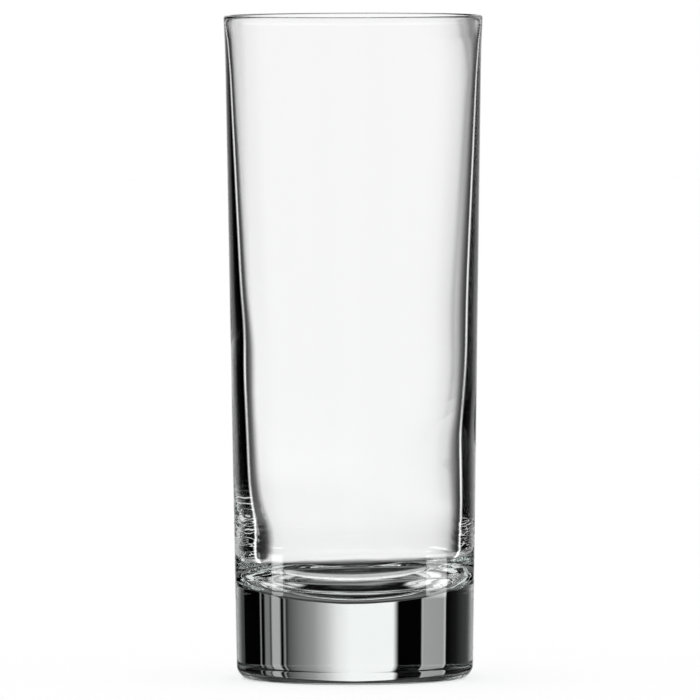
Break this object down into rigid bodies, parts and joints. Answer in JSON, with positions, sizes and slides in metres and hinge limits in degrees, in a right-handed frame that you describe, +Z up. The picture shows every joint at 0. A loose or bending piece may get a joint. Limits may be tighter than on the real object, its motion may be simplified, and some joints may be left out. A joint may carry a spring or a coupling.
{
  "type": "highball glass",
  "caption": "Straight tall drinking glass with a slight taper, a thin rounded lip, a thick solid foot and a dished floor inside.",
  "frame": {"origin": "middle of the foot, on the table that the glass stands on", "axes": "+Z up along the axis of the glass, towards the lip; the glass is round, so +X and +Y are any two square directions"},
  "size_m": [0.0624, 0.0624, 0.16],
  "materials": {
    "clear_glass": "clear soda-lime glass, fire-polished"
  },
  "bodies": {
    "root": {"glass_tumbler": "clear_glass"}
  },
  "joints": []
}
